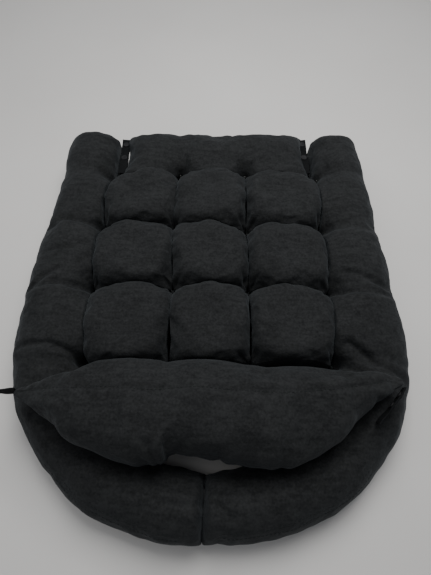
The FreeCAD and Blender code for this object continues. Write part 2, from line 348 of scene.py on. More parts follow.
def dotted_cloth():
    """Underside cloth with a grid of small raised grip dots."""
    material, tree, shader, place = new_material("underside_cloth")
    dots = tree.nodes.new("ShaderNodeTexVoronoi")
    set_inputs(dots, Scale=DOT_SCALE, Randomness=0.0)
    tree.links.new(place, dots.inputs["Vector"])
    near = blend_factor(tree, dots.outputs["Distance"], DOT_RADIUS, "LESS_THAN")
    weave = scaled_noise(tree, place, scale=400.0)
    paint(tree, shader, near, UNDERSIDE_DARK, UNDERSIDE_DOTS)
    vary_roughness(tree, shader, weave, change=0.2, lowest=0.65)
    add_bump(tree, shader, near, strength=0.6, distance=0.0005)
    return material


def moulded_plastic():
    """Black press studs: satin plastic with fine pitting and rubbed rims."""
    material, tree, shader, place = new_material("press_stud")
    pits = scaled_noise(tree, place, scale=700.0, detail=3.0)
    rubbed = scaled_noise(tree, place, scale=120.0)
    paint(tree, shader, rubbed, STUD_DARK, STUD_LIGHT)
    vary_roughness(tree, shader, rubbed, change=0.25, lowest=0.35)
    set_inputs(shader, Specular_IOR_Level=0.2)
    add_bump(tree, shader, pits, strength=0.15, distance=0.0002)
    return material


def pale_floor():
    material, tree, shader, place = new_material("floor")
    cloud = scaled_noise(tree, place, scale=3.0, detail=3.0)
    paint(tree, shader, cloud, FLOOR_DARK, FLOOR_LIGHT)
    set_inputs(shader, Roughness=0.6)
    return material


SUEDE = microsuede()
TAPE = ribbed("tape", dark=(0.005, 0.0055, 0.006), light=(0.013, 0.014, 0.015), rib=500.0, roughness=0.85)
THREAD = ribbed("thread", dark=(0.45, 0.45, 0.42), light=(0.75, 0.75, 0.7), rib=900.0, roughness=0.7)
SEAM_THREAD = ribbed("seam_thread", dark=(0.016, 0.018, 0.018), light=(0.045, 0.048, 0.050), rib=900.0,
                     roughness=0.8)
UNDERSIDE = dotted_cloth()
STUD = moulded_plastic()


def dress(piece, material):
    piece.data.materials.clear()
    piece.data.materials.append(material)
    return piece


# ---------- mat: nine puffed cells ----------
CELL_STEPS = 34
CELL_BULGE = 0.02        # the stuffing pushes the cells wider than their seams
CELL_TOPS = (0.93, 0.97)  # the cells' heights before they swell, as shares of the mat's height
WALL_GAP = 0.0002
SOFT_PRESSURE = 3.0
FINE_RUFFLE = 0.016      # size of the small unevenness that comes after the folds


def crown(share, flat=2.55, steep=1.25):
    """Puffed profile from 0 at the seams to 1 in the middle."""
    return np.maximum(0, 1 - np.abs(2 * share - 1) ** flat) ** (1 / steep)


def seam_height(share):
    """Height of a sewn seam at a share of the way from one tuft to the next."""
    return TUFT_Z + SEAM_RISE * np.maximum(0, np.sin(math.pi * share)) ** SEAM_POWER


def cell_corners(row, column):
    """Plan corners of a cell, anticlockwise from front left."""
    back = TUFTS[row]
    front = TUFTS[row + 1]
    return [np.array(p) for p in (front[column], front[column + 1], back[column + 1], back[column])]


def make_mat():
    spread = spread_out(CELL_STEPS)
    side = CELL_STEPS + 1
    verts = []
    faces = []
    pinned = set()
    for row in range(CELLS):
        for column in range(CELLS):
            base = len(verts)
            a, b, c, d = cell_corners(row, column)
            centre = (a + b + c + d) / 4
            top = MAT_TOP * rng.uniform(*CELL_TOPS)
            lean_x = rng.uniform(-0.08, 0.08)
            lean_y = rng.uniform(-0.05, 0.10)
            for j, v in enumerate(spread):
                for i, u in enumerate(spread):
                    x, y = a * (1 - u) * (1 - v) + b * u * (1 - v) + c * u * v + d * (1 - u) * v
                    lift = float(crown(u ** (1 + lean_x)) * crown(v ** (1 + lean_y)))
                    x, y = centre + (np.array((x, y)) - centre) * (1 + CELL_BULGE * lift)
                    seam = seam_height(u) + seam_height(v) - TUFT_Z
                    verts.append((x, y, seam + (top - seam) * lift))
                    if i in (0, CELL_STEPS) or j in (0, CELL_STEPS):
                        pinned.add(base + j * side + i)
            faces += grid_faces(CELL_STEPS, CELL_STEPS, base)
    mat = new_mesh("mat_cushion", verts, faces)
    ruffle(mat, scale=0.045, amount=0.004, seed=SEED)
    swell(mat, pinned, SOFT_PRESSURE, growth=0.022, cap=0.006)
    keep_in_cells(mat, side)
    subdivide(mat)
    gather_corners(mat)
    ruffle(mat, FINE_RUFFLE, amount=0.0012, seed=SEED + 1)
    close_cells(mat)
    return smooth(mat)


def gather_corners(mat):
    """Short creases that run from each tuft out into the cells round it."""
    for row in TUFTS:
        for x, y in row:
            for quarter in range(4):
                turn = math.radians(90 * quarter + rng.uniform(22, 68))
                length = rng.uniform(0.018, 0.034)
                line = [(x + far * math.cos(turn), y + far * math.sin(turn)) for far in (0.004, length)]
                press_in(mat, line, width=0.0035, depth=rng.uniform(0.0015, 0.0035), fade=0.1, lip=0.25)


def keep_in_cells(mat, side):
    """Neighbouring cells press flat against each other on their shared seam plane."""
    points = coords(mat)
    per_cell = side * side
    for index in range(CELLS * CELLS):
        part = slice(index * per_cell, (index + 1) * per_cell)
        corners = cell_corners(*divmod(index, CELLS))
        for k in range(4):
            a = corners[k]
            run = corners[(k + 1) % 4] - a
            inward = np.array((-run[1], run[0])) / np.linalg.norm(run)
            inside = (points[part, :2] - a) @ inward
            points[part, :2] += np.maximum(0, WALL_GAP - inside)[:, None] * inward
    set_coords(mat, points)


def close_cells(mat):
    """Adds each cell's flat underside, just above the underside cloth."""
    made = bmesh.new()
    made.from_mesh(mat.data)
    rim_loops = [edge for edge in made.edges if edge.is_boundary]
    result = bmesh.ops.extrude_edge_only(made, edges=rim_loops)
    lower = [item for item in result["geom"] if isinstance(item, bmesh.types.BMVert)]
    for vert in lower:
        vert.co.z = FLOOR_GAP
    rims = [item for item in result["geom"] if isinstance(item, bmesh.types.BMEdge)]
    bmesh.ops.holes_fill(made, edges=rims, sides=0)
    bmesh.ops.recalc_face_normals(made, faces=made.faces)
    made.to_mesh(mat.data)
    made.free()


# ---------- stuffed tubes: bolsters with their arms, and the front pillow ----------
def catmull(points, share):
    """Smooth curve through points at share 0 to 1, equal steps between neighbours."""
    points = np.asarray(points, float)
    position = share * (len(points) - 1)
    index = min(int(position), len(points) - 2)
    t = position - index
    p1 = points[index]
    p2 = points[index + 1]
    p0 = points[index - 1] if index > 0 else 2 * p1 - p2
    p3 = points[index + 2] if index + 2 < len(points) else 2 * p2 - p1
    return 0.5 * (2 * p1 + (p2 - p0) * t + (2 * p0 - 5 * p1 + 4 * p2 - p3) * t * t
                  + (3 * p1 - p0 - 3 * p2 + p3) * t ** 3)


def grid_faces(columns, rows, base=0):
    """Quads of a grid of columns x rows cells whose points are numbered row by row from base."""
    side = columns + 1
    corners = [base + j * side + i for j in range(rows) for i in range(columns)]
    return [(c, c + 1, c + side + 1, c + side) for c in corners]


def loop_mesh(name, rings):
    """Closed mesh through rings of points, each end closed with a fan."""
    count = len(rings[0])
    verts = [p for ring in rings for p in ring]
    faces = []
    for row in range(len(rings) - 1):
        for k in range(count):
            after = (k + 1) % count
            here, above = row * count, (row + 1) * count
            faces.append((here + k, here + after, above + after, above + k))
    for row, turned in ((0, True), (len(rings) - 1, False)):
        centre = len(verts)
        verts.append(np.mean(rings[row], axis=0))
        for k in range(count):
            corners = (row * count + k, row * count + (k + 1) % count, centre)
            faces.append(corners[::-1] if turned else corners)
    return new_mesh(name, verts, faces)


# inner x, y and outer x, y of each side tube, from the head end round to the front; x is away from the middle
SIDE_EDGES = {
    "left": [
        (0.157, 0.294, 0.236, 0.292),
        (0.157, 0.25, 0.239, 0.25),
        (0.158, 0.205, 0.238, 0.2),
        (0.161, 0.158, 0.242, 0.15),
        (0.163, 0.11, 0.246, 0.1),
        (0.164, 0.058, 0.249, 0.05),
        (0.164, 0.005, 0.252, 0.0),
        (0.161, -0.05, 0.252, -0.055),
        (0.157, -0.1, 0.247, -0.108),
        (0.155, -0.135, 0.236, -0.152),
        (0.145, -0.162, 0.215, -0.194),
        (0.125, -0.184, 0.186, -0.23),
        (0.097, -0.203, 0.149, -0.263),
        (0.066, -0.216, 0.104, -0.284),
        (0.037, -0.224, 0.056, -0.297),
        (0.0038, -0.231, 0.009, -0.303),
    ],
    "right": [
        (0.171, 0.289, 0.243, 0.285),
        (0.171, 0.25, 0.247, 0.25),
        (0.168, 0.202, 0.247, 0.2),
        (0.168, 0.15, 0.249, 0.15),
        (0.167, 0.101, 0.25, 0.1),
        (0.166, 0.05, 0.251, 0.05),
        (0.164, -0.002, 0.252, 0.0),
        (0.161, -0.05, 0.253, -0.052),
        (0.158, -0.098, 0.251, -0.104),
        (0.155, -0.135, 0.243, -0.15),
        (0.146, -0.162, 0.222, -0.192),
        (0.127, -0.186, 0.19, -0.23),
        (0.099, -0.205, 0.151, -0.262),
        (0.067, -0.213, 0.105, -0.283),
        (0.034, -0.223, 0.055, -0.295),
        (-0.0032, -0.231, -0.0084, -0.301),
    ],
}
INNER_BULGE = 0.07       # share of its width that a bolster presses into the mat before it is trimmed
TUBE_ROWS = 190
TUBE_ROUND = 60
EDGE_SAMPLES = 400
SIDE_TOP = 0.97          # the tube's height before it swells, as a share of the bolster's
ARM_START_Y = 0.09       # the height goes over from the bolster's to the arm's from y = -ARM_START_Y on
ARM_CHANGE = 0.12
BACK_ROUND = 0.022
FRONT_ROUND = 0.014
THIN_END = 0.03          # share of the height left at the very ends
ROUND_POWER = 2.2        # 2 is an ellipse, more is squarer
LOWER_INNER_POWER = 5.0
END_POWER = 2.3
SEAM_END = 0.04          # past the last tuft, the inner seam reaches its free height in this length
SIDE_SEAM_TOP = 0.045    # the inner side is pinned to the mat below this height


def ramp(distance, length):
    """0 up to distance 0, then evenly up to 1 at length."""
    return min(1.0, max(0.0, distance / length))


def superellipse(turn, power):
    c = math.cos(turn)
    s = math.sin(turn)
    return (math.copysign(abs(c) ** (2 / power), c), math.copysign(abs(s) ** (2 / power), s))


def rounded_end(distance, radius):
    """0 at an end, 1 once distance is past radius."""
    share = ramp(distance, radius)
    return (1 - (1 - share) ** END_POWER) ** (1 / END_POWER)


def seam_beside(side, y, free_height):
    """Height of a side cushion's inner seam at y; free_height where nothing is sewn to it."""
    line = [row[0 if side < 0 else -1][1] for row in reversed(TUFTS)]
    if line[0] <= y <= line[-1]:
        return float(seam_height(float(np.interp(y, line, range(CELLS + 1))) % 1.0))
    past = ramp(max(line[0] - y, y - line[-1]), SEAM_END)
    return TUFT_Z + (free_height - TUFT_Z) * past * past * (3 - 2 * past)


def side_tube(name, side):
    edges = SIDE_EDGES[name]
    samples = np.array([catmull(edges, k / EDGE_SAMPLES) for k in range(EDGE_SAMPLES + 1)])
    middles = np.array([((s[0] + s[2]) / 2, (s[1] + s[3]) / 2) for s in samples])
    walked = np.concatenate([[0], np.cumsum(np.linalg.norm(np.diff(middles, axis=0), axis=1))])
    total = walked[-1]
    rings = []
    for row in range(TUBE_ROWS + 1):
        share = row / TUBE_ROWS
        run = total * share
        x_in, y_in, x_out, y_out = [float(np.interp(run, walked, samples[:, k])) for k in range(4)]
        spare = np.array((x_out - x_in, y_out - y_in))
        x_in, y_in = np.array((x_in, y_in)) - spare * INNER_BULGE * ramp(y_in - FRONT_SEAM_Y, 0.03)
        across = np.array((x_out - x_in, y_out - y_in))
        centre = np.array(((x_in + x_out) / 2, (y_in + y_out) / 2))
        half_width = np.linalg.norm(across) / 2
        across = across / (2 * half_width)
        arm_share = ramp(-centre[1] - ARM_START_Y, ARM_CHANGE)
        top = BOLSTER_TOP * SIDE_TOP + (ARM_TOP - BOLSTER_TOP * SIDE_TOP) * arm_share
        bottom = FLOOR_GAP + 0.001 + 0.003 * arm_share
        outer_height = bottom + (top - bottom) * (0.45 - 0.2 * arm_share)
        inner_height = seam_beside(side, y_in, outer_height)
        flat = rounded_end(run, BACK_ROUND) * rounded_end(total - run, FRONT_ROUND)
        half_width *= 0.95 + 0.05 * flat
        ring = []
        for k in range(TUBE_ROUND):
            turn = 2 * math.pi * k / TUBE_ROUND
            power = ROUND_POWER
            if math.cos(turn) < 0:
                power = 2.0 if math.sin(turn) > 0 else LOWER_INNER_POWER
            c, s = superellipse(turn, power)
            widest = outer_height + (inner_height - outer_height) * (1 - c) / 2
            limit = top if s > 0 else bottom
            z = widest + abs(s) * (limit - widest) * max(flat, THIN_END)
            plan = centre + across * half_width * c
            ring.append((side * plan[0], plan[1], z))
        rings.append(ring if side > 0 else ring[::-1])
    return loop_mesh(f"{name}_side_cushion", rings)


def side_valleys(tube, side):
    """Broad valleys across the cushion, a tuft row at a time."""
    for row in TUFTS:
        x, y = row[0 if side < 0 else -1]
        press_in(tube, [(x, y), (x + side * 0.080, y)], width=0.017, depth=0.0075, fade=0.15, low=FOLD_LOW)


# sharp creases in each side cushion: plan points, width, depth and the share of the depth left at the end
SIDE_FOLDS = {
    "left": [
        ([(-0.158, -0.107), (-0.172, -0.096), (-0.197, -0.087), (-0.234, -0.09)], 0.004, 0.0055, 0.5),
        ([(-0.158, -0.108), (-0.172, -0.104), (-0.19, -0.099)], 0.0035, 0.0035, 0.1),
        ([(-0.16, -0.1), (-0.174, -0.082), (-0.178, -0.066)], 0.004, 0.002, 0.1),
        ([(-0.164, 0.001), (-0.176, -0.003), (-0.2, -0.002), (-0.24, -0.008)], 0.004, 0.004, 0.5),
        ([(-0.204, 0.018), (-0.222, 0.008), (-0.242, -0.008)], 0.0035, 0.0028, 0.8),
        ([(-0.164, 0.006), (-0.18, 0.022), (-0.19, 0.04)], 0.005, 0.0015, 0.1),
        ([(-0.192, 0.051), (-0.212, 0.05), (-0.23, 0.045)], 0.004, 0.0018, 0.5),
        ([(-0.163, 0.103), (-0.182, 0.1), (-0.212, 0.103)], 0.0045, 0.0028, 0.3),
        ([(-0.158, 0.198), (-0.18, 0.206), (-0.205, 0.204)], 0.005, 0.0028, 0.2),
        ([(-0.119, -0.227), (-0.063, -0.237), (-0.02, -0.246)], 0.006, 0.0025, 0.6),
        ([(-0.012, -0.262), (-0.03, -0.262), (-0.062, -0.256)], 0.005, 0.0022, 0.1),
        ([(-0.01, -0.276), (-0.026, -0.279), (-0.044, -0.274)], 0.004, 0.0018, 0.1),
    ],
    "right": [
        ([(0.164, -0.006), (0.173, -0.012), (0.2, -0.017), (0.24, -0.02)], 0.004, 0.0045, 0.6),
        ([(0.18, 0.014), (0.21, 0.002), (0.242, -0.012)], 0.004, 0.0026, 0.8),
        ([(0.166, 0.096), (0.18, 0.091), (0.222, 0.084)], 0.005, 0.0028, 0.3),
        ([(0.168, 0.195), (0.184, 0.204), (0.212, 0.202)], 0.0055, 0.003, 0.2),
        ([(0.172, -0.086), (0.2, -0.112), (0.234, -0.13)], 0.0045, 0.0045, 0.7),
        ([(0.16, -0.104), (0.185, -0.124), (0.212, -0.14)], 0.004, 0.003, 0.5),
        ([(0.178, -0.18), (0.142, -0.211), (0.101, -0.229)], 0.0055, 0.0035, 0.4),
        ([(0.16, -0.214), (0.1, -0.238), (0.058, -0.249)], 0.006, 0.0022, 0.3),
        ([(0.012, -0.262), (0.022, -0.272), (0.042, -0.274)], 0.0045, 0.004, 0.1),
        ([(0.01, -0.248), (0.026, -0.242), (0.052, -0.243)], 0.005, 0.002, 0.1),
    ],
}


def make_side(name, side):
    tube = side_tube(name, side)
    side_valleys(tube, side)
    ruffle(tube, scale=0.06, amount=0.0035, seed=SEED + side * 3)
    points = coords(tube)
    edges = np.array(SIDE_EDGES[name])[::-1]
    wall = np.interp(points[:, 1], edges[:, 1], edges[:, 0])
    inner = side * points[:, 0] < wall + 0.001
    beside_mat = (points[:, 1] > FRONT_SEAM_Y) & (points[:, 2] < SIDE_SEAM_TOP)
    ends = (points[:, 1] > HEAD_SEAM_Y + 0.086) | (np.abs(points[:, 0]) < 0.012)
    pins = inner & beside_mat | ends & (np.abs(points[:, 2] - 0.036) < 0.004)
    swell(tube, [int(i) for i in np.nonzero(pins)[0]], SOFT_PRESSURE, growth=0.014, cap=0.004)
    points = coords(tube)
    beside = points[:, 1] > FRONT_SEAM_Y - 0.02
    wall = np.interp(points[:, 1], edges[:, 1], edges[:, 0]) + WALL_GAP
    points[:, 0] = np.where(beside, side * np.maximum(side * points[:, 0], wall), points[:, 0])
    points[:, 2] = np.maximum(points[:, 2], FLOOR_GAP)
    set_coords(tube, points)
    subdivide(tube)
    fold(tube, SIDE_FOLDS[name])
    ruffle(tube, FINE_RUFFLE, amount=0.0014, seed=SEED + side)
    return smooth(tube)


# ---------- head flap: one wide pad with knife-edge sides ----------
HEAD_RIM_Z = 0.037
HEAD_LEFT_X = head_low[0] - 0.002        # the sewn edges stand a little proud of the stuffing
HEAD_RIGHT_X = head_high[0] + 0.006
HEAD_BACK_Y = head_high[1] + 0.005
HEAD_VALLEY = 0.05       # share of the height lost behind each middle tuft
# creases: plan points, width, depth and the share of the depth left at the end
HEAD_FOLDS = [
    ([(-0.05, 0.214), (-0.064, 0.226), (-0.082, 0.232)], 0.004, 0.003, 0.1),
    ([(-0.049, 0.216), (-0.04, 0.232), (-0.036, 0.248)], 0.004, 0.0025, 0.1),
    ([(0.056, 0.211), (0.044, 0.224), (0.036, 0.24)], 0.004, 0.0028, 0.1),
    ([(0.057, 0.211), (0.068, 0.228), (0.072, 0.25)], 0.004, 0.0025, 0.1),
    ([(-0.138, 0.228), (-0.118, 0.236), (-0.096, 0.234)], 0.005, 0.002, 0.2),
    ([(0.15, 0.222), (0.134, 0.236), (0.116, 0.24)], 0.005, 0.002, 0.2),
    ([(-0.03, 0.296), (-0.026, 0.284), (-0.028, 0.272)], 0.004, 0.002, 0.1),
    ([(0.034, 0.295), (0.04, 0.282), (0.038, 0.27)], 0.004, 0.002, 0.1),
]


def pad_mesh(name, columns, rows, place):
    """Closed pad; place(u, v) gives plan x, y, rim height, top height and bottom height."""
    us = spread_out(columns)
    vs = spread_out(rows)
    verts = []
    index = {}
    for level in ("top", "bottom"):
        for j, v in enumerate(vs):
            for i, u in enumerate(us):
                rim = i in (0, columns) or j in (0, rows)
                if rim and level == "bottom":
                    index[level, i, j] = index["top", i, j]
                    continue
                x, y, rim_z, top_z, bottom_z = place(u, v)
                index[level, i, j] = len(verts)
                verts.append((x, y, rim_z if rim else (top_z if level == "top" else bottom_z)))
    faces = []
    for level in ("top", "bottom"):
        for j in range(rows):
            for i in range(columns):
                corners = ((i, j), (i + 1, j), (i + 1, j + 1), (i, j + 1))
                quad = [index[(level, *corner)] for corner in corners]
                faces.append(quad if level == "top" else quad[::-1])
    pad = new_mesh(name, verts, faces)
    rim_points = {index["top", i, j] for i in range(columns + 1) for j in range(rows + 1)
                  if i in (0, columns) or j in (0, rows)}
    return pad, rim_points


def head_seam_y(x):
    return np.interp(x, [p[0] for p in TUFTS[0]], [p[1] for p in TUFTS[0]]) + WALL_GAP


def near_middle_tufts(x, width):
    """1 in line with one of the two middle tufts, fading to 0 over about width."""
    return sum(math.exp(-((x - p[0]) / width) ** 2) for p in TUFTS[0][1:3])


def head_place(u, v):
    """The sewn edges are pulled in at the sides, at the middle tufts and between the back corners."""
    pull = 0.0020 * math.sin(math.pi * v)
    x = HEAD_LEFT_X + pull + (HEAD_RIGHT_X - HEAD_LEFT_X - 2 * pull) * u
    y0 = float(head_seam_y(x))
    notch = 0.0015 * near_middle_tufts(x, 0.010)
    corner = 0.004 * (2 * u - 1) ** 6
    y = y0 + (HEAD_BACK_Y - notch + corner - y0) * v
    rise = min(1.0, v * 2.2)
    between = float(np.interp(x, [p[0] for p in TUFTS[0]], range(CELLS + 1))) % 1.0
    seam = float(seam_height(between))
    rim = seam + (HEAD_RIM_Z - seam) * rise * rise * (3 - 2 * rise)
    lift = float(crown(u, flat=9.0, steep=2.0) * crown(v, flat=2.8, steep=1.6))
    lift_top = lift * (1 - HEAD_VALLEY * near_middle_tufts(x, 0.020))
    return x, y, rim, rim + (head_high[2] - rim) * lift_top, rim - (rim - FLOOR_GAP) * lift


def make_head():
    pad, rim = pad_mesh("head_cushion", columns=56, rows=28, place=head_place)
    for lean, (x, y) in zip((-1, 1), TUFTS[0][1:3]):
        start = (x, y + 0.004)
        press_in(pad, [(x, y), start], width=0.014, depth=0.003, low=0.012)
        for dx, dy, width in ((0.010, 0.045, 0.012), (-0.026, 0.030, 0.010)):
            press_in(pad, [start, (x + lean * dx, y + dy)], width, depth=0.004, fade=0.1, low=FOLD_LOW)
    ruffle(pad, scale=0.05, amount=0.003, seed=SEED + 11)
    swell(pad, rim, SOFT_PRESSURE, growth=0.025, cap=0.006)
    points = coords(pad)
    points[:, 1] = np.maximum(points[:, 1], head_seam_y(points[:, 0]))
    points[:, 2] = np.maximum(points[:, 2], FLOOR_GAP)
    set_coords(pad, points)
    subdivide(pad)
    fold(pad, HEAD_FOLDS)
    ruffle(pad, FINE_RUFFLE, amount=0.0014, seed=SEED + 12)
    return smooth(pad)


# ---------- front pillow ----------
# x, then the section's middle (y, z) and its half depth and half height, metres
PILLOW_SECTIONS = [
    (-0.215, -0.152, 0.095, 0.002, 0.002),
    (-0.19, -0.1545, 0.0945, 0.0165, 0.011),
    (-0.165, -0.157, 0.093, 0.031, 0.02),
    (-0.143, -0.161, 0.09, 0.043, 0.028),
    (-0.107, -0.163, 0.0855, 0.0545, 0.035),
    (-0.074, -0.1675, 0.0825, 0.058, 0.0385),
    (-0.052, -0.1685, 0.081, 0.0585, 0.0395),
    (-0.034, -0.165, 0.08, 0.056, 0.0395),
    (-0.004, -0.164, 0.08, 0.056, 0.04),
    (0.024, -0.1675, 0.0805, 0.057, 0.0398),
    (0.053, -0.17, 0.081, 0.057, 0.0395),
    (0.074, -0.1705, 0.0825, 0.0555, 0.0385),
    (0.103, -0.168, 0.085, 0.0505, 0.0345),
    (0.139, -0.161, 0.0895, 0.0395, 0.027),
    (0.162, -0.1545, 0.0925, 0.029, 0.02),
    (0.185, -0.1475, 0.0945, 0.0175, 0.0125),
    (0.203, -0.143, 0.0955, 0.0095, 0.007),
    (0.217, -0.14, 0.096, 0.0025, 0.0025),
]
PILLOW_ROWS = 84
PILLOW_ROUND = 60
PILLOW_SEAM_TURN = math.radians(76)      # the long seam runs along the upper rear of each section
PILLOW_SEAM_COLUMN = round(PILLOW_SEAM_TURN / (2 * math.pi) * PILLOW_ROUND)
PILLOW_POWER = 2.15
PILLOW_TIP = 0.002       # the points of the pillow are no thinner than this
SEAM_RIDGE = 0.05        # how far the seam stands out, as a share of the section
PILLOW_FOLD_LOW = 0.05
# gathers and creases: plan points, width, depth and the share of the depth left at the end
PILLOW_FOLDS = [
    ([(-0.042, -0.224), (-0.044, -0.206), (-0.038, -0.19)], 0.0045, 0.0038, 0.1),
    ([(-0.052, -0.226), (-0.06, -0.21), (-0.072, -0.198)], 0.004, 0.0036, 0.1),
    ([(-0.062, -0.226), (-0.078, -0.213), (-0.092, -0.208)], 0.004, 0.0035, 0.1),
    ([(-0.036, -0.218), (-0.022, -0.204), (-0.006, -0.2)], 0.0045, 0.0035, 0.1),
    ([(0.012, -0.22), (0.016, -0.206), (0.014, -0.192)], 0.0045, 0.0025, 0.1),
    ([(0.076, -0.225), (0.078, -0.21), (0.072, -0.196)], 0.0045, 0.0025, 0.1),
    ([(0.186, -0.146), (0.17, -0.151), (0.15, -0.15)], 0.004, 0.0026, 0.2),
    ([(0.182, -0.158), (0.168, -0.166), (0.158, -0.178)], 0.004, 0.0022, 0.2),
    ([(0.17, -0.132), (0.15, -0.136), (0.128, -0.134)], 0.0045, 0.002, 0.2),
    ([(-0.19, -0.156), (-0.165, -0.16), (-0.138, -0.158)], 0.0045, 0.002, 0.2),
]


def make_pillow():
    rings = []
    for row in range(PILLOW_ROWS + 1):
        share = 0.5 - 0.5 * math.cos(math.pi * row / PILLOW_ROWS)
        share = 0.35 * share + 0.65 * row / PILLOW_ROWS
        x, y, z, deep, high = catmull(PILLOW_SECTIONS, share)
        ring = []
        for k in range(PILLOW_ROUND):
            turn = 2 * math.pi * k / PILLOW_ROUND
            c, s = superellipse(turn, PILLOW_POWER)
            off = math.atan2(math.sin(turn - PILLOW_SEAM_TURN), math.cos(turn - PILLOW_SEAM_TURN))
            ridge = 1 + SEAM_RIDGE * math.exp(-abs(off) / 0.16)
            ring.append((x, y + max(deep, PILLOW_TIP) * c * ridge, z + max(high, PILLOW_TIP) * s * ridge))
        rings.append(ring)
    pillow = loop_mesh("pillow_cushion", rings)
    ruffle(pillow, scale=0.05, amount=0.003, seed=SEED + 23)
    pinned = {row * PILLOW_ROUND + PILLOW_SEAM_COLUMN for row in range(PILLOW_ROWS + 1)}
    for row in (0, 1, 2, PILLOW_ROWS - 2, PILLOW_ROWS - 1, PILLOW_ROWS):
        pinned.update(row * PILLOW_ROUND + k for k in range(PILLOW_ROUND))
    swell(pillow, pinned, SOFT_PRESSURE, growth=0.020, cap=0.005)
    subdivide(pillow)
    verts = pillow.data.vertices
    seam = [verts[row * PILLOW_ROUND + PILLOW_SEAM_COLUMN].co for row in range(0, PILLOW_ROWS + 1, 4)]
    fold(pillow, [(seam, 0.0032, 0.0016, 1.0)] + PILLOW_FOLDS, PILLOW_FOLD_LOW)
    ruffle(pillow, FINE_RUFFLE, amount=0.0014, seed=SEED + 24)
    return smooth(pillow)


# ---------- flat tapes ----------
TAPE_ROWS = 44
TAPE_HALF_WIDTH = 0.00725
TAPE_HALF_THICK = 0.0007
STUD_REACH = 0.009       # a stud holds the tape flat this far from its middle
WAVES = 150              # radians of the wave and of the curl, for each metre of tape
CURLS = 70
CURL_SHARE = 0.8         # how far the tape's edges curl, for each part of the wave
# half the outline of the tape's section, thicker at its woven edges
TAPE_UPPER = [(-1.0, 0.0), (-0.985, 1.1), (-0.93, 1.25), (-0.86, 0.85), (-0.4, 0.8), (0.0, 0.8), (0.4, 0.8),
              (0.86, 0.85), (0.93, 1.25), (0.985, 1.1)]
TAPE_SECTION = TAPE_UPPER + [(-a, -b) for a, b in TAPE_UPPER]
# tape, its body, the way it runs, the way it faces, its length, its studs' places along it and its waviness
RIBBONS = [
    ("head_left", "head_flap", (0, -1, 0), (0, 0, 1), 0.078, (-0.027, 0.004), 0.0010),
    ("head_right", "head_flap", (0, -1, 0), (0, 0, 1), 0.078, (-0.027, 0.004), 0.0014),
    ("left_bolster", "mat", (0, -1, 0), (-1, 0, 0), 0.027, (-0.005, 0.005), 0.0004),
    ("right_bolster", "mat", (0, -1, 0), (1, 0, 0), 0.027, (-0.005, 0.005), 0.0004),
    ("left_arm", "left_arm", (0, 1, 0), (0, 0, -1), 0.040, (-0.011, 0.011), 0.0006),
    ("right_arm", "right_arm", (0, 1, 0), (0, 0, 1), 0.040, (-0.011, 0.011), 0.0006),
    ("pillow_left", "front_pillow", (1, 0, 0), (0, -1, 0), 0.034, (-0.006,), 0.0010),
    ("pillow_right", "front_pillow", (0.62, 0.725, 0.3), (0.76, -0.65, 0), 0.050, (0.001, 0.015), 0.0010),
]


def ribbon(node_name, name, along, normal, length, studs, wave, seed):
    """Woven tape on the CAD tape's line: flat at its studs, slightly wavy and curled between them."""
    low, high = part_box(node_name)
    centre = (Vector(low) + Vector(high)) / 2
    along = Vector(along).normalized()
    normal = Vector(normal).normalized()
    across = normal.cross(along)
    phase = random.Random(seed).uniform(0, 6)
    rings = []
    for row in range(TAPE_ROWS + 1):
        spot = length * (row / TAPE_ROWS - 0.5)
        free = math.prod(1 - math.exp(-((spot - stud) / STUD_REACH) ** 2) for stud in studs)
        lift = wave * free * math.sin(spot * WAVES + phase)
        curl = CURL_SHARE * wave * free * math.sin(spot * CURLS + 2 * phase)
        middle = centre + along * spot + normal * lift
        ring = []
        for a, b in TAPE_SECTION:
            off = b * TAPE_HALF_THICK + a * curl
            ring.append(tuple(middle + across * (a * TAPE_HALF_WIDTH) + normal * off))
        rings.append(ring)
    made = smooth(loop_mesh(name, rings))
    dress(made, TAPE)
    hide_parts(node_name)
    return made


# ---------- cloth between the mat's front seam and the pillow ----------
WEB_COLUMNS = 60
WEB_ROWS = 12
WEB_HALF_LENGTH = 0.150
WEB_SLACK = 0.0015
WEB_WAVES = 19           # radians of waviness in half the length
WEB_FOOT = (FRONT_SEAM_Y - 0.0020, 0.030)     # y and z where it is sewn to the mat
WEB_TOP = (FRONT_SEAM_Y - 0.0240, 0.0560)     # y and z where it is sewn to the pillow


def make_web():
    """Narrow strip of cloth that ties the pillow to the mat, slack between its two seams."""
    verts = []
    run = np.array(WEB_TOP) - np.array(WEB_FOOT)
    for row in range(WEB_ROWS + 1):
        share = row / WEB_ROWS
        for column in range(WEB_COLUMNS + 1):
            along = 2 * column / WEB_COLUMNS - 1
            y, z = np.array(WEB_FOOT) + run * share
            slack = WEB_SLACK * math.sin(math.pi * share) * (1 + 0.5 * math.sin(WEB_WAVES * along))
            verts.append((WEB_HALF_LENGTH * along, y - slack, z - slack))
    web = smooth(new_mesh("pillow_web", verts, grid_faces(WEB_COLUMNS, WEB_ROWS)))
    dress(web, SUEDE)
    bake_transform(web)


# ---------- underside cloth ----------
UNDERSIDE_INSET = 0.030  # inside the cushions' outer edges
UNDERSIDE_THICK = 0.0016
UNDERSIDE_LOW = 0.0001
UNDERSIDE_WAVE = 0.00015
UNDERSIDE_STEPS = 36
TONGUE_GAP = 0.0005
TONGUE_LENGTH = 0.055


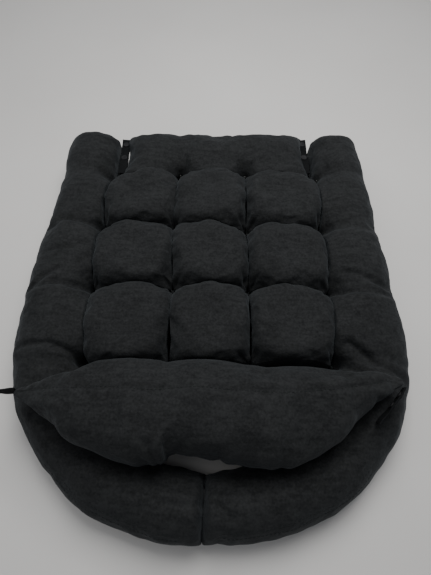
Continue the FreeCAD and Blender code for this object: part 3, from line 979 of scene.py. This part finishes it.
def underside_cloth(name, node_names, low_edge, high_edge, y_front, y_back):
    """Flat cloth sewn under the bed between two side lines, closed and slightly wavy on top."""
    verts = []
    side = UNDERSIDE_STEPS + 1
    for level in (0, 1):
        for j in range(side):
            y = y_front + (y_back - y_front) * j / UNDERSIDE_STEPS
            x_low = low_edge(y)
            x_high = high_edge(y)
            for i in range(side):
                x = x_low + (x_high - x_low) * i / UNDERSIDE_STEPS
                wave = UNDERSIDE_WAVE * math.sin(90 * x + 40 * y) * math.sin(70 * y)
                verts.append((x, y, UNDERSIDE_LOW + level * (UNDERSIDE_THICK + wave)))
    faces = [quad[::-1] for quad in grid_faces(UNDERSIDE_STEPS, UNDERSIDE_STEPS)]
    faces += grid_faces(UNDERSIDE_STEPS, UNDERSIDE_STEPS, side * side)
    rim = list(range(side))
    rim += [j * side + side - 1 for j in range(1, side)]
    rim += [(side - 1) * side + i for i in range(side - 2, -1, -1)]
    rim += [j * side for j in range(side - 2, 0, -1)]
    for k, here in enumerate(rim):
        after = rim[(k + 1) % len(rim)]
        faces.append((here, after, after + side * side, here + side * side))
    cloth = new_mesh(name, verts, faces)
    dress(cloth, UNDERSIDE)
    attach(cloth, "mat")
    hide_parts(*node_names)
    widths = [high_edge(y) - low_edge(y) for y in (y_front, y_back)]


def side_line(name, column, inset, sign):
    """The x of a side cushion's inner (0) or outer (2) edge, moved by inset, straight from end to end."""
    edges = np.array(SIDE_EDGES[name])[::-1]
    spots = (FRONT_SEAM_Y, HEAD_SEAM_Y)
    ends = [float(np.interp(y, edges[:, column + 1], edges[:, column])) + inset for y in spots]
    return lambda y: sign * float(np.interp(y, spots, ends))


def make_underside():
    left = side_line("left", 2, -UNDERSIDE_INSET, -1)
    right = side_line("right", 2, -UNDERSIDE_INSET, 1)
    panel_back = HEAD_SEAM_Y - TONGUE_GAP
    underside_cloth("underside_sheet", ["underside_panel"], left, right, FRONT_SEAM_Y, panel_back)
    back = HEAD_SEAM_Y + TONGUE_LENGTH
    left_inner = side_line("left", 0, UNDERSIDE_INSET / 2, -1)
    right_inner = side_line("right", 0, UNDERSIDE_INSET / 2, 1)
    underside_cloth("left_tongue_sheet", ["left_underside_tongue"], left, left_inner, HEAD_SEAM_Y, back)
    underside_cloth("right_tongue_sheet", ["right_underside_tongue"], right_inner, right, HEAD_SEAM_Y, back)


# ---------- stitches and knots ----------
STITCH_GAP = 0.0045      # from the start of one stitch to the next
STITCH_LENGTH = 0.0030
STITCH_RADIUS = 0.00035
STITCH_LIFT = 0.6        # how far a stitch's middle stands off the cloth, in radii
STITCH_SHAPE = ((0.0, 0.3), (0.3, 1.0), (0.7, 1.0), (1.0, 0.3))    # share of the length, share of the radius
STITCH_ROUND = 6
ARM_STITCH_START = 142   # ring of the side tube where the arms' double stitching starts
ARM_STITCH_COUNT = TUBE_ROWS - ARM_STITCH_START - 4
ARM_STITCH_TURNS = (8, 6)
KNOT_LIFT = 0.001
KNOT_SPREAD = 0.0008
KNOT_RING = 0.0013
KNOT_THREAD = 0.0005
THREAD_ENDS = [(1, 0.5), (2, -0.4), (3, 0.3)]     # tuft column and sideways lean
THREAD_END_Z = TUFT_Z + 0.006
THREAD_END_RISE = 0.019
THREAD_END_LEAN = 0.004
THREAD_END_RADIUS = 0.0009


def interpolate(run, walked, vectors):
    return Vector([float(np.interp(run, walked, [v[k] for v in vectors])) for k in range(3)])


def stitches(name, points, normals):
    """A line of separate stitches lying on the cloth along points."""
    points = [Vector(p) for p in points]
    walked = [0.0]
    for before, after in zip(points, points[1:]):
        walked.append(walked[-1] + (after - before).length)
    verts = []
    faces = []
    for step in range(int(walked[-1] / STITCH_GAP)):
        run = step * STITCH_GAP
        start = interpolate(run, walked, points)
        end = interpolate(run + STITCH_LENGTH, walked, points)
        up = interpolate(run, walked, normals).normalized()
        side = (end - start).normalized().cross(up)
        base = len(verts)
        for share, girth in STITCH_SHAPE:
            middle = start.lerp(end, share)
            for k in range(STITCH_ROUND):
                turn = 2 * math.pi * k / STITCH_ROUND
                out = side * math.cos(turn) + up * (STITCH_LIFT + math.sin(turn))
                verts.append(tuple(middle + out * STITCH_RADIUS * girth))
        for row in range(len(STITCH_SHAPE) - 1):
            low = base + row * STITCH_ROUND
            for k in range(STITCH_ROUND):
                after = (k + 1) % STITCH_ROUND
                faces.append((low + k, low + after, low + STITCH_ROUND + after, low + STITCH_ROUND + k))
        faces.append(tuple(base + k for k in reversed(range(STITCH_ROUND))))
        faces.append(tuple(len(verts) - STITCH_ROUND + k for k in range(STITCH_ROUND)))
    made = smooth(new_mesh(name, verts, faces))
    dress(made, SEAM_THREAD)
    return made


def column_line(piece, first, step, count):
    """Places and normals of every step-th vertex of a finished piece."""
    picked = [piece.data.vertices[first + step * k] for k in range(count)]
    return [v.co.copy() for v in picked], [v.normal.copy() for v in picked]


def make_knots():
    """Thread knots in the tufts: three small loops lying across each other in each."""
    made = bmesh.new()
    draw = random.Random(SEED)
    for row in range(CELLS + 1):
        for x, y in TUFTS[row]:
            for part in range(3):
                shift = Vector((draw.uniform(-1, 1), draw.uniform(-1, 1), draw.uniform(0, 1))) * KNOT_SPREAD
                angle = draw.uniform(0, 6)
                turn = Matrix.Rotation(angle, 4, Vector((draw.uniform(-1, 1), draw.uniform(-1, 1), 1)))
                place = Matrix.Translation(Vector((x, y, TUFT_Z + KNOT_LIFT)) + shift) @ turn
                torus_loop(made, place, KNOT_RING, KNOT_THREAD)
    data = bpy.data.meshes.new("tuft_knots")
    made.to_mesh(data)
    made.free()
    return smooth(new_object("tuft_knots", data))


def torus_loop(made, place, ring_radius, tube_radius):
    around = 12
    tube = 6
    grid = []
    for i in range(around):
        a = 2 * math.pi * i / around
        loop = []
        for k in range(tube):
            b = 2 * math.pi * k / tube
            reach = ring_radius + tube_radius * math.cos(b)
            spot = Vector((reach * math.cos(a), reach * math.sin(a), tube_radius * math.sin(b)))
            loop.append(made.verts.new(place @ spot))
        grid.append(loop)
    for i in range(around):
        for k in range(tube):
            made.faces.new((grid[i][k], grid[(i + 1) % around][k],
                            grid[(i + 1) % around][(k + 1) % tube], grid[i][(k + 1) % tube]))


def make_thread_ends():
    """Short pale ends of the tufting thread that stand out of the head seam."""
    for index, (column, lean) in enumerate(THREAD_ENDS):
        x, y = TUFTS[0][column]
        rings = []
        for row in range(9):
            share = row / 8
            shift = THREAD_END_LEAN * share
            size = THREAD_END_RADIUS * (1 - 0.3 * share)
            z = THREAD_END_Z + THREAD_END_RISE * share
            middle = x + lean * shift
            turns = [math.pi * k / 4 for k in range(8)]
            rings.append([(middle + size * math.cos(t), y - shift, z + size * math.sin(t)) for t in turns])
        end = smooth(loop_mesh(f"thread_end_{index + 1}", rings))
        dress(end, THREAD)
        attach(end, "mat")


def blend_to_arm(piece):
    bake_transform(piece)


mat_cushion = make_mat()
head_cushion = make_head()
right_side = make_side("right", 1)
left_side = make_side("left", -1)
pillow_cushion = make_pillow()

for piece, fill in ((mat_cushion, 0.8), (head_cushion, 0.7), (right_side, 0.75), (left_side, 0.75),
                    (pillow_cushion, 0.8)):
    dress(piece, SUEDE)

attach(mat_cushion, "mat")
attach(pillow_cushion, "front_pillow")
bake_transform(head_cushion)
blend_to_arm(right_side)
blend_to_arm(left_side)

cell_names = [f"mat_filling_r{row + 1}_c{column + 1}" for row in range(CELLS) for column in range(CELLS)]
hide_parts("mat_cover", *cell_names)
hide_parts("head_cover", "head_filling")
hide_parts("pillow_cover", "pillow_filling")
for name, piece in (("left", left_side), ("right", right_side)):
    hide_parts(f"{name}_bolster_cover", *[f"{name}_bolster_filling_{k + 1}" for k in range(4)])
    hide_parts(f"{name}_arm_cover", f"{name}_arm_filling")

for seed, (place, body, *shape) in enumerate(RIBBONS, 1):
    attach(ribbon(f"{place}_tape", f"{place}_ribbon", *shape, seed), body)

make_underside()
make_web()
knots = dress(make_knots(), SEAM_THREAD)
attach(knots, "mat")
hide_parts("tufting_ties")
make_thread_ends()

seam_line = column_line(pillow_cushion, PILLOW_SEAM_COLUMN, PILLOW_ROUND, PILLOW_ROWS + 1)
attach(stitches("pillow_seam_stitches", *seam_line), "front_pillow")
for name, side, piece in (("left", -1, left_side), ("right", 1, right_side)):
    for line, turn in enumerate(ARM_STITCH_TURNS, 1):
        column = turn if side > 0 else TUBE_ROUND - 1 - turn
        first = ARM_STITCH_START * TUBE_ROUND + column
        sewn = column_line(piece, first, TUBE_ROUND, ARM_STITCH_COUNT)
        blend_to_arm(stitches(f"{name}_arm_stitches_{line}", *sewn))

for name, part in frame["nodes"].items():
    if name.endswith("_studs"):
        dress(part, STUD)

# ---------- camera, floor and lights ----------
CAMERA_PLACE = (0.008, -0.252, 0.534)
CAMERA_TILT = 62.2       # degrees below the horizon
CAMERA_SENSOR = 36.0     # millimetres
CAMERA_LENS = 24.668
FLOOR_HALF = 4
# name, place, aim, size and power
LIGHTS = [
    ("key", (0.15, 0.40, 1.08), (0, 0.08, 0), 0.7, 12.5),
    ("fill", (-0.9, 0.1, 1.7), (0, 0, 0), 1.2, 6),
]
SKY_COLOUR = (0.9, 0.93, 1.0, 1)
SKY_STRENGTH = 0.26

camera_data = bpy.data.cameras.new("camera")
camera_data.sensor_width = CAMERA_SENSOR
camera_data.lens = CAMERA_LENS
camera_data.clip_start = 0.01
camera = new_object("camera", camera_data)
camera.location = CAMERA_PLACE
camera.rotation_euler = (math.radians(90 - CAMERA_TILT), 0, 0)
bpy.context.scene.camera = camera

floor_corners = [(x * FLOOR_HALF, y * FLOOR_HALF, 0) for x, y in ((-1, -1), (1, -1), (1, 1), (-1, 1))]
floor = new_mesh("floor", floor_corners, [(0, 1, 2, 3)])
floor.data.materials.append(pale_floor())


def area_light(name, place, aim, size, power):
    data = bpy.data.lights.new(name, "AREA")
    data.size = size
    data.energy = power
    lamp = new_object(name, data)
    lamp.location = place
    lamp.rotation_euler = (Vector(aim) - Vector(place)).to_track_quat("-Z", "Y").to_euler()


for light in LIGHTS:
    area_light(*light)
world = bpy.data.worlds.new("studio")
world.use_nodes = True
set_inputs(world.node_tree.nodes["Background"], Color=SKY_COLOUR, Strength=SKY_STRENGTH)
bpy.context.scene.world = world
